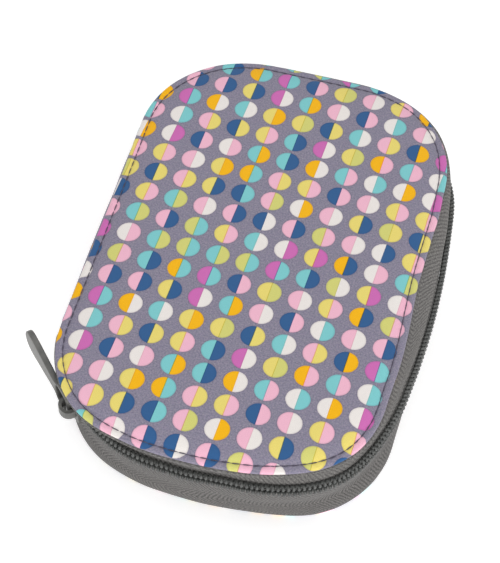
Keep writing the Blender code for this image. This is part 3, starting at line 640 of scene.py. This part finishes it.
# ---- stitches: one short twisted thread after another, dipping into the cloth at each end
def stitches(name, body, shift, z_top, node, up=1.0, ease=None):
    st = closed_stations(0.36)
    line = panel(st, -STITCH_IN, 0.0, (0, 0), ease)
    L = path_length(line, True)
    total = L[-1]
    n = round(total / STITCH_PITCH)
    pts = np.concatenate([line, line[:1]])
    bm = bmesh.new()
    uvl = bm.loops.layers.uv.new("flat")
    for k in range(n):
        s0 = (k + 0.02) * total / n
        s1 = (k + 0.98) * total / n
        ss = np.linspace(s0, s1, 7)
        c = np.stack([np.interp(ss, L, pts[:, 0]), np.interp(ss, L, pts[:, 1])], 1)
        t = (ss - s0) / (s1 - s0)
        zz = z_top - up * (0.1 * (2 * np.abs(t - 0.5)) ** 4)
        rad = 0.145 * (1 - 0.25 * (2 * np.abs(t - 0.5)) ** 4)
        d = np.gradient(c, axis=0)
        d /= np.linalg.norm(d, axis=1)[:, None]
        nrm = np.stack([d[:, 1], -d[:, 0]], 1)
        ringv = []
        for q in range(7):
            vs = []
            for a in range(8):
                th = 2 * math.pi * a / 8
                x = c[q, 0] + nrm[q, 0] * rad[q] * math.cos(th) + shift[0]
                y = c[q, 1] + nrm[q, 1] * rad[q] * math.cos(th) + shift[1]
                z = zz[q] + rad[q] * 0.8 * math.sin(th)
                vs.append(bm.verts.new((x * MM, y * MM, z * MM)))
            ringv.append(vs)
        for q in range(6):
            for a in range(8):
                f = bm.faces.new((ringv[q][a], ringv[q][(a + 1) % 8], ringv[q + 1][(a + 1) % 8], ringv[q + 1][a]))
                for lp, (uu, vv) in zip(f.loops, ((ss[q], a), (ss[q], a + 1), (ss[q + 1], a + 1), (ss[q + 1], a))):
                    lp[uvl].uv = (uu, vv / 8)
        bm.faces.new(ringv[0][::-1])
        bm.faces.new(ringv[-1])
    bmesh.ops.recalc_face_normals(bm, faces=bm.faces)
    me = bpy.data.meshes.new(name)
    bm.to_mesh(me)
    bm.free()
    me.shade_smooth()
    me.materials.append(M_THREAD)
    ob = bpy.data.objects.new(name, me)
    bpy.context.scene.collection.objects.link(ob)
    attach(ob, body)
    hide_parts(node)
    return ob


stitches("lid_stitches", "lid", LID_SHIFT, 27.42, "lid_edge_stitching", ease=LID_EASE)
stitches("base_stitches", "base", (0, 0), 0.34, "base_edge_stitching", up=-0.9, ease=base_edge)


# ================================================================== zip tapes
def resample(profile, n):
    p = np.array(profile, float)
    L = path_length(np.c_[p, np.zeros(len(p))])
    s = np.linspace(0, L[-1], n)
    # smooth the corners with a centripetal blend of the sampled polyline
    q = np.stack([np.interp(s, L, p[:, 0]), np.interp(s, L, p[:, 1])], 1)
    for _ in range(2):
        q[1:-1] = 0.25 * q[:-2] + 0.5 * q[1:-1] + 0.25 * q[2:]
    return q


def tape(name, outer, inner, st, mat, body, node, edge_fn=None, uv_off=0.0, shape_fn=None):
    """Closed strip: outer face profile then inner face profile, swept along the path."""
    o, i = np.array(outer), np.array(inner)
    prof = np.concatenate([o, i[::-1]])
    mid = wall(st, WALL_D, ZIP_Z)
    s = path_length(mid)
    cols = []
    for j, (d, z) in enumerate(prof):
        zz = np.full(len(st), z)
        dd = np.full(len(st), d)
        if edge_fn is not None:
            dd, zz = edge_fn(j, dd, zz, s, st)
        if shape_fn is not None:
            dd, zz = shape_fn(dd, zz, s, st)
        cols.append(wall(st, dd, zz))
    P = np.stack(cols, 1)
    step = np.linalg.norm(np.diff(P, axis=1, append=P[:, :1]), axis=2)
    v = np.concatenate([np.zeros((len(s), 1)), np.cumsum(step, axis=1)], 1)
    v = v - v[:, len(o) - 1:len(o)] + uv_off
    UV = np.stack([np.repeat(s[:, None], v.shape[1], 1), v], 2)
    ob = grid(name, P, mat, UV, close_v=True, cap_u=True)
    tri("", ob, 50)
    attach(ob, body)
    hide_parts(node)
    return ob


tape_st = open_stations(0.9)
outer = resample([(-5.0, 1.7), (-1.3, 1.68), (-0.75, 1.35), (-0.25, 1.05), (0.2, 1.25), (0.5, 2.0), (0.75, 3.4), (1.0, 5.5), (1.2, 9.0), (1.25, 13.5),
                  (1.2, 16.6), (0.95, 17.7), (0.62, 18.4), (0.62, 20.3)], 44)
inner = resample([(-5.0, 2.2), (-1.4, 2.25), (-0.7, 2.6), (-0.2, 4.4), (0.2, 8.0), (0.35, 12.0), (0.3, 16.0), (0.25, 20.35)], 18)


def band_shape(d, z, s, st):
    """The band is a little fuller along the front, and eases with the cloth."""
    front = smooth((-st[:, 3] - 0.2) / 0.8)
    mid = smooth((z - 1.5) / 4.0) * smooth((17.5 - z) / 6.0)
    d = d + (0.15 * front + 0.12 * noise1(s, 5, 70.0)) * mid
    return d, z


tape("base_tape", outer, inner, tape_st, M_TAPE, "base", "base_gusset_tape", shape_fn=band_shape)


def notch_stations():
    lo, hi = SLIDER_PHI - SLIDER_HALF_DEG - 1.6, SLIDER_PHI + SLIDER_HALF_DEG + 1.0
    st = open_stations(0.9)
    ang = np.degrees(np.arctan2(st[:, 3], st[:, 2])) % 360
    first = (st[:, 0] < -AX + 1e-6) & (st[:, 1] < -AY + 1e-6) & (ang < 270)
    cut = np.array([[-AX, -AY, math.cos(math.radians(a)), math.sin(math.radians(a))] for a in (lo - 0.03, lo, hi, hi + 0.03)])
    a_first = ang[first]
    merged = np.concatenate([st[first], cut])
    order = np.argsort(np.concatenate([a_first, [lo - 0.03, lo, hi, hi + 0.03]]))
    merged = merged[order]
    return np.concatenate([merged, st[~first]]), lo, hi


lid_st, notch_lo, notch_hi = notch_stations()
lid_outer = resample([(-5.0, 26.38), (-1.2, 26.38), (0.2, 26.2), (1.15, 25.7), (1.75, 25.1), (1.95, 24.5), (1.92, 24.05), (1.65, 23.7), (1.15, 23.6),
                      (0.85, 23.4), (0.95, 22.6), (1.05, 20.7)], 30)
lid_inner = resample([(-5.0, 25.9), (-1.5, 25.85), (-0.6, 25.55), (0.1, 25.0), (0.3, 24.2), (0.25, 22.5), (0.25, 20.65)], 16)


def lid_shape(d, z, s, st):
    side = smooth((st[:, 2] - 0.72) / 0.26)
    over = smooth((z - 22.9) / 0.9) * smooth((25.9 - z) / 1.4)
    return d - 1.35 * side * over, z


def notch_edge(j, d, z, s, st):
    ang = np.degrees(np.arctan2(st[:, 3], st[:, 2])) % 360
    inside = (st[:, 0] < -AX + 1e-6) & (st[:, 1] < -AY + 1e-6) & (ang >= notch_lo - 0.001) & (ang <= notch_hi + 0.001)
    low = z < 24.75
    if j >= len(lid_outer):
        # the slider's back wing runs along here, so the inner face doesn't lean in with the lid's edge
        a = along(st)
        near = smooth((a - 8.0) / 8.0) * (1.0 - smooth((a - 58.0) / 6.0))
        d = d - LID_EASE(a) * smooth((z - 22.6) / 2.6) * near
    z = np.where(inside & low, 24.75 + (z - 24.75) * 0.02, z)
    return d, z


tape("lid_tape", lid_outer, lid_inner, lid_st, M_TAPE_LID, "lid", "lid_gusset_tape", edge_fn=notch_edge, uv_off=0.4, shape_fn=lid_shape)


# ---- nylon coils: a flattened spiral with a bump every pitch
COIL_PITCH = 1.5


def coil(name, side, st, body, node):
    """side +1 for the lid's coil, -1 for the base's."""
    line = wall(st, WALL_D + 1.0, ZIP_Z + side * 1.2)
    s = path_length(line)
    zc, dc = ZIP_Z + side * 1.42, WALL_D + 0.96
    turns = s[-1] / COIL_PITCH
    per = 16
    n = int(turns * per)
    ss = np.linspace(0, s[-1], n)
    th = 2 * math.pi * (ss / COIL_PITCH + (0.5 if side > 0 else 0.0))
    # squarish loop: long legs across the coil, tight returns at its edges
    cz, sd = np.cos(th), np.sin(th)
    cz = np.sign(cz) * np.abs(cz) ** 0.75
    sd = np.sign(sd) * np.abs(sd) ** 0.6
    zz = zc + 0.46 * cz
    dd = dc + 0.48 * sd
    lean = ss + 0.26 * cz         # the legs slope along the zip
    stt = np.stack([np.interp(lean, s, st[:, k]) for k in range(4)], 1)
    nn = np.linalg.norm(stt[:, 2:], axis=1)[:, None]
    stt[:, 2:] /= nn
    C = wall(stt, dd, zz)
    T = np.gradient(C, axis=0)
    T /= np.linalg.norm(T, axis=1)[:, None]
    out = np.stack([stt[:, 2], stt[:, 3], np.zeros(n)], 1)
    B = np.cross(T, out)
    bad = np.linalg.norm(B, axis=1) < 0.2
    B[bad] = np.cross(T[bad], np.array([0, 0, 1.0]))
    B /= np.linalg.norm(B, axis=1)[:, None]
    N = np.cross(B, T)
    rad = 0.46 + 0.04 * np.abs(sd)
    cols, uvs = [], []
    for a in range(7):
        t = 2 * math.pi * a / 7
        cols.append(C + (N * math.cos(t) + B * math.sin(t)) * rad[:, None])
        uvs.append(np.stack([ss, np.full(n, a / 7)], 1))
    P, UV = np.stack(cols, 1), np.stack(uvs, 1)
    UV = np.concatenate([UV, UV[:, :1] + [0, 1 / 7]], 1)
    ob = grid(name, P, M_COIL, UV, close_v=True, cap_u=True)
    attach(ob, body)
    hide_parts(node)
    return ob


coil("base_coil", -1, open_stations(0.9, 204.0, 160.0), "base", "base_zip_coil")
coil("lid_coil", 1, open_stations(0.9, notch_hi + 0.3, 160.0), "lid", "lid_zip_coil")


# ================================================================== spine: printed cloth outside, lining inside
def spine_sheet(name, profile, thick_dir, y_half, mat, node, u0, sign, seed, end_pull, lid_side):
    p = resample(profile, 22)
    p3 = np.c_[p, np.zeros(len(p))]
    L = path_length(p3)
    tang = np.gradient(p, axis=0)
    tang /= np.linalg.norm(tang, axis=1)[:, None]
    nrm = np.stack([-tang[:, 1], tang[:, 0]], 1) * thick_dir
    ease_in = 5.0 * (1 - np.cos(np.linspace(0, math.pi / 2, 10)))[:-1]
    ys = np.concatenate([-y_half + ease_in, np.linspace(-y_half + 5.0, y_half - 5.0, 56), (y_half - ease_in)[::-1]])
    rows_o, rows_i, uvo, uvi = [], [], [], []
    reach = smooth((L if lid_side else L[-1] - L) / L[-1] * 3.0)      # the sewn-in edge isn't pulled round
    for y in ys:
        e = (abs(y) - (y_half - 5.0)) / 5.0
        tuck = end_pull * (1 - math.sqrt(max(0.0, 1 - max(0.0, e) ** 2)))
        wig = 0.18 * noise1(np.array([y]), seed, 64.0)[0]
        x = p[:, 0] + tuck * reach + wig * np.sin(math.pi * L / L[-1])
        z = p[:, 1]
        rows_o.append(np.stack([x, np.full(len(p), y), z], 1))
        rows_i.append(np.stack([x + nrm[:, 0] * 0.4, np.full(len(p), y), z + nrm[:, 1] * 0.4], 1))
        uvo.append(np.stack([u0 + sign * L, np.full(len(p), y)], 1))
        uvi.append(np.stack([u0 + sign * L, np.full(len(p), y)], 1))
    P = np.concatenate([np.stack(rows_o), np.stack(rows_i)[:, ::-1]], 1)
    UV = np.concatenate([np.stack(uvo), np.stack(uvi)[:, ::-1]], 1)
    UV = np.concatenate([UV, UV[:, :1]], 1)
    ob = grid(name, P, mat, UV, close_v=True, cap_u=True)
    tri("", ob, 60)
    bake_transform(ob)
    if node:
        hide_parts(node)
    return ob


MIDZ = 14.65
upper = [(-51.0, 26.15), (-52.6, 26.15), (-53.9, 25.95), (-54.8, 25.3), (-55.3, 24.0), (-55.55, 22.0), (-55.65, 18.0), (-55.7, MIDZ)]
lower = [(-55.7, MIDZ), (-55.8, 10.0), (-55.75, 6.5), (-55.4, 4.2), (-54.6, 2.5), (-53.4, 1.55), (-51.8, 1.2), (-49.2, 1.15)]
UPPER_LEN = float(path_length(np.c_[resample(upper, 22), np.zeros(22)])[-1])
sp_up = spine_sheet("spine_print_upper", upper, 1, SPINE_HALF, M_PRINT,
                    "spine_cover", -50.6, -1, 31, 1.5, True)
sp_lo = spine_sheet("spine_print_lower", lower, 1, SPINE_HALF, M_PRINT,
                    None, -50.6 - UPPER_LEN, -1, 31, 1.5, False)
lin_up = [(-49.4, 25.3), (-51.2, 25.25), (-52.6, 24.8), (-53.6, 23.6), (-54.3, 21.0), (-54.6, MIDZ)]
lin_lo = [(-54.6, MIDZ), (-54.6, 9.0), (-54.2, 6.0), (-53.4, 4.4), (-52.0, 3.6), (-49.8, 3.4)]
spine_sheet("spine_lining_upper", lin_up, -1, SPINE_HALF - 0.6, M_LINING,
            "spine_lining", 0, 1, 37, -0.6, True)
spine_sheet("spine_lining_lower", lin_lo, -1, SPINE_HALF - 0.6, M_LINING,
            None, 0, 1, 37, -0.6, False)


# ================================================================== inside: linings, bindings, foam
def inner_panel(name, z0, z1, puff, shift, body, node, hinge_x):
    """Lining cloth over its board, running out to the spine on the hinge side."""
    st = closed_stations(2.0)
    left = (st[:, 2] < -0.9939)
    y = panel(st, 0, 0)[:, 1]
    reach = np.where(left, smooth((46.5 - np.abs(y)) / 4.5), 0.0)
    far = -(hinge_x - shift[0]) - HX
    rows = []
    prof = [(0.0, z0), (0.35, z0 + (z1 - z0) * 0.5), (0.1, z1), (-0.8, z1 + puff * 0.25), (-3.0, z1 + puff * 0.6), (-8.0, z1 + puff * 0.9),
            (-18.0, z1 + puff), (-28.0, z1 + puff)]
    for dd, z in prof:
        d = -4.6 + dd + reach * (4.6 + far) * (1.0 if dd > -1 else max(0.0, 1 + dd / 6.0))
        rows.append(panel(st, d, z, shift))
    P = np.stack(rows, 1)
    UV = P[..., :2].copy()
    UV = np.concatenate([UV, UV[:1]], 0)
    ob = grid(name, P, M_LINING, UV, close_u=True, cap_v=True)
    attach(ob, body)
    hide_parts(node)
    return ob


inner_panel("base_lining_cloth", 2.75, 3.35, 0.05, (0, 0), "base", "base_lining", -51.6)
inner_panel("lid_lining_cloth", 25.35, 24.85, -0.25, LID_SHIFT, "lid", "lid_lining", -52.0)


def binding(name, d0, d1, z0, z1, body, node, use_wall):
    st = open_stations(1.2)
    cd, cz, rd, rz = (d0 + d1) / 2, (z0 + z1) / 2, (d1 - d0) / 2, (z1 - z0) / 2
    s = path_length(panel(st, 0, 0))
    cols, uvs = [], []
    for a in range(12):
        t = 2 * math.pi * a / 12
        c, q = math.cos(t), math.sin(t)
        d = cd + rd * np.sign(c) * abs(c) ** 0.6
        z = cz + rz * np.sign(q) * abs(q) ** 0.6 + 0.05 * noise1(s, 41, 40.0)
        cols.append(wall(st, d, z) if use_wall else panel(st, d, z, LID_SHIFT))
        uvs.append(np.stack([s, np.full(len(s), a * 0.5)], 1))
    P, UV = np.stack(cols, 1), np.stack(uvs, 1)
    UV = np.concatenate([UV, UV[:, :1] + [0, 0.5]], 1)
    ob = grid(name, P, M_BINDING, UV, close_v=True, cap_u=True)
    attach(ob, body)
    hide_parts(node)
    return ob


binding("base_binding", -5.0, -1.5, 2.45, 3.15, "base", "base_seam_binding", True)
binding("lid_binding", -5.3, -3.5, 24.7, 25.75, "lid", "lid_seam_binding", False)


def foam_piece(node):
    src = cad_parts[node]
    me = src.data.copy()
    me.name = node.replace("block", "insert")
    ob = bpy.data.objects.new(node.replace("block", "insert"), me)
    bpy.context.scene.collection.objects.link(ob)
    me.materials.clear()
    me.materials.append(M_FOAM)
    bm = bmesh.new()
    bm.from_mesh(me)
    bmesh.ops.remove_doubles(bm, verts=bm.verts, dist=1e-6)
    bm.to_mesh(me)
    bm.free()
    b = ob.modifiers.new("edges", "BEVEL")
    b.width, b.segments, b.limit_method, b.angle_limit = 0.0005, 3, "ANGLE", math.radians(40)
    me.shade_smooth()
    me.set_sharp_from_angle(angle=math.radians(50))
    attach(ob, "base")
    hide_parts(node)
    return ob


for nm in ("foam_block_left", "foam_block_middle", "foam_block_right"):
    foam_piece(nm)

for nm, mat in (("lid_stiffener_board", M_BOARD), ("base_stiffener_board", M_BOARD),
                ("slider_front_wing", M_METAL), ("slider_back_wing", M_METAL)):
    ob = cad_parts[nm]
    ob.data.materials.clear()
    ob.data.materials.append(mat)

# ================================================================== zip pull
CX = -AX + EXTRA_R + ZIP_SHIFT_X
CY = -AY + EXTRA_R + SHORT_Y
PHI = math.radians(SLIDER_PHI)
AXIS_N = Vector((math.cos(PHI), math.sin(PHI), 0.0))
AXIS_T = Vector((math.sin(PHI), -math.cos(PHI), 0.0))
PULL_TURN = 0.8
PIVOT_R = RP + EXTRA_R + WALL_D + 0.3 + 1.7 + 0.3 + 0.9 + 1.25
PULL_PIVOT = Vector((CX, CY, ZIP_Z)) + AXIS_N * PIVOT_R
RING_LEN, RING_H, RING_WIRE, TAB_LEN, TAB_H = 8.6, 9.9, 1.6, 21.2, 8.2


def pull_piece():
    cu = bpy.data.curves.new("pull_shape", "CURVE")
    cu.dimensions = "2D"
    cu.fill_mode = "BOTH"
    cu.extrude = 0.5 * MM
    cu.bevel_depth = 0.45 * MM
    cu.bevel_resolution = 5
    r, near, neck, end = RING_H / 2, -RING_WIRE / 2, RING_LEN + 0.6, RING_LEN + TAB_LEN
    inset = 0.45
    pts = [(near + 2.6, r), (near + 1.2, r - 0.35), (near + 0.3, r - 1.4), (near, r - 2.6), (near, -r + 2.6), (near + 0.3, -r + 1.4),
           (near + 1.2, -r + 0.35), (near + 2.6, -r), (RING_LEN - 3.4, -r + 0.35), (RING_LEN - 1.4, -r + 1.6), (neck - 0.4, -2.7),
           (neck + 2.2, -2.7), (neck + 6.0, -3.2), (neck + 10.0, -3.6), (end - 6, -TAB_H / 2)]
    tr = TAB_H / 2
    tip = [(end - tr + tr * math.cos(a), tr * math.sin(a)) for a in np.radians([-70, -45, -20, 0, 20, 45, 70])]
    upper_pts = [(x, -z) for x, z in pts[8:][::-1]]
    outline = pts[:1] + pts[1:] + tip + upper_pts
    hole = []
    hx0, hx1, hh = RING_WIRE / 2, RING_LEN - 0.75, RING_H / 2 - RING_WIRE
    for cx, cz, a0, rr in ((hx1 - 2.4, -hh + 2.4, -90, 2.4), (hx1 - 2.4, hh - 2.4, 0, 2.4), (hx0 + 1.4, hh - 1.4, 90, 1.4), (hx0 + 1.4, -hh + 1.4, 180, 1.4)):
        for i in range(5):
            a = math.radians(a0 + 90 * i / 4)
            hole.append((cx + rr * math.cos(a), cz + rr * math.sin(a)))

    def offset(poly, d):
        out = []
        n = len(poly)
        for i in range(n):
            p, q = poly[i - 1], poly[(i + 1) % n]
            tx, tz = q[0] - p[0], q[1] - p[1]
            ln = math.hypot(tx, tz)
            out.append((poly[i][0] - d * tz / ln, poly[i][1] + d * tx / ln))
        return out

    for poly in (offset(outline, inset), offset(hole, -inset)):
        sp = cu.splines.new("BEZIER")
        sp.bezier_points.add(len(poly) - 1)
        for bp, (x, z) in zip(sp.bezier_points, poly):
            bp.co = (x * MM, z * MM, 0)
            bp.handle_left_type = bp.handle_right_type = "AUTO"
        sp.use_cyclic_u = True
        sp.resolution_u = 6
    tmp = bpy.data.objects.new("pull_curve", cu)
    bpy.context.scene.collection.objects.link(tmp)
    dg = bpy.context.evaluated_depsgraph_get()
    me = bpy.data.meshes.new_from_object(tmp.evaluated_get(dg))
    bpy.data.objects.remove(tmp, do_unlink=True)
    turn = Matrix.Rotation(math.radians(-PULL_TURN), 3, "Z")
    T_DIR, N_DIR = turn @ AXIS_T, turn @ AXIS_N
    PIVOT = PULL_PIVOT - AXIS_N * 0.9
    rot = Matrix((( T_DIR.x, 0, N_DIR.x, PIVOT.x * MM), (T_DIR.y, 0, N_DIR.y, PIVOT.y * MM), (0, 1, 0, PIVOT.z * MM), (0, 0, 0, 1)))
    me.transform(rot)
    bm = bmesh.new()
    bm.from_mesh(me)
    bmesh.ops.remove_doubles(bm, verts=bm.verts, dist=2e-6)
    bmesh.ops.recalc_face_normals(bm, faces=bm.faces)
    bm.to_mesh(me)
    bm.free()
    me.name = "pull_tab"
    me.materials.clear()
    me.materials.append(M_METAL)
    me.shade_smooth()
    me.set_sharp_from_angle(angle=math.radians(40))
    ob = bpy.data.objects.new("pull_tab", me)
    bpy.context.scene.collection.objects.link(ob)
    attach(ob, "pull")
    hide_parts("zip_pull")
    return ob


pull_piece()

# ================================================================== floor, light, camera
floor_me = bpy.data.meshes.new("floor")
floor_me.from_pydata([(-4, -4, 0), (4, -4, 0), (4, 4, 0), (-4, 4, 0)], [], [(0, 1, 2, 3)])
floor = bpy.data.objects.new("floor", floor_me)
bpy.context.scene.collection.objects.link(floor)
kf = Nodes("pale_floor")
nf, _ = kf.noise(kf.objco(), 3.0, 2.0)
kf.bsdf.inputs["Emission Color"].default_value = (1, 1, 1, 1)
kf.bsdf.inputs["Emission Strength"].default_value = 0.36
floor_me.materials.append(kf.shader(rough=0.9, color=kf.ramp(nf, [(0.3, (0.93, 0.93, 0.93, 1)), (0.7, (0.96, 0.96, 0.96, 1))]), specular=0.1))

# a plain pale wall far behind, for low views; it doesn't take part in the lighting
ring = [(3.95 * math.cos(2 * math.pi * i / 96), 3.95 * math.sin(2 * math.pi * i / 96)) for i in range(96)]
wall_me = bpy.data.meshes.new("backdrop")
wall_me.from_pydata([(x, y, z) for z in (-0.2, 6.0) for x, y in ring], [], [(i, (i + 1) % 96, 96 + (i + 1) % 96, 96 + i) for i in range(96)])
wall_me.shade_smooth()
backdrop = bpy.data.objects.new("backdrop", wall_me)
bpy.context.scene.collection.objects.link(backdrop)
kb = Nodes("pale_backdrop")
nb, _ = kb.noise(kb.objco(), 1.5, 2.0)
kb.bsdf.inputs["Emission Color"].default_value = (1, 1, 1, 1)
kb.bsdf.inputs["Emission Strength"].default_value = 0.5
wall_me.materials.append(kb.shader(rough=0.95, color=kb.ramp(nb, [(0.3, (0.9, 0.9, 0.9, 1)), (0.7, (0.94, 0.94, 0.94, 1))]), specular=0.05))
backdrop.visible_diffuse = backdrop.visible_glossy = backdrop.visible_transmission = False
backdrop.visible_volume_scatter = backdrop.visible_shadow = False

world = bpy.data.worlds.new("studio")
bpy.context.scene.world = world
world.use_nodes = True
bg = world.node_tree.nodes["Background"]
bg.inputs[0].default_value = (1, 1, 1, 1)
bg.inputs[1].default_value = 0.6


def area(name, loc, size, power, target=(0, 0, 0.015)):
    li = bpy.data.lights.new(name, "AREA")
    li.shape = "RECTANGLE"
    li.size, li.size_y = size
    li.energy = power
    ob = bpy.data.objects.new(name, li)
    bpy.context.scene.collection.objects.link(ob)
    ob.location = loc
    d = Vector(target) - Vector(loc)
    ob.rotation_mode = "QUATERNION"
    ob.rotation_quaternion = d.to_track_quat("-Z", "Y")
    return ob


area("key", (0.55, -0.95, 0.5), (0.7, 0.7), 7.5)
area("fill", (-0.8, 0.1, 0.8), (0.8, 0.8), 1.6)
area("top", (0.2, 0.5, 1.2), (1.2, 0.8), 2.6)

cam_data = bpy.data.cameras.new("camera")
cam = bpy.data.objects.new("camera", cam_data)
bpy.context.scene.collection.objects.link(cam)
cam_data.sensor_width = 36.0
cam_data.lens = 121.17
cam_data.clip_start, cam_data.clip_end = 0.01, 20.0
cam.location = Vector(((75.55 + LID_SHIFT[0]) * MM, (-347.89 + LID_SHIFT[1]) * MM, (464.86 + 27.7) * MM))
RIGHT, UP, FWD = Vector((0.96596, 0.25703, 0.02917)), Vector((-0.22337, 0.77188, 0.59524)), Vector((-0.13048, 0.58149, -0.80302))
cam.rotation_mode = "QUATERNION"
cam.rotation_quaternion = Matrix((RIGHT, UP, -FWD)).transposed().to_quaternion()
bpy.context.scene.camera = cam
bpy.context.scene.view_settings.view_transform = "Standard"
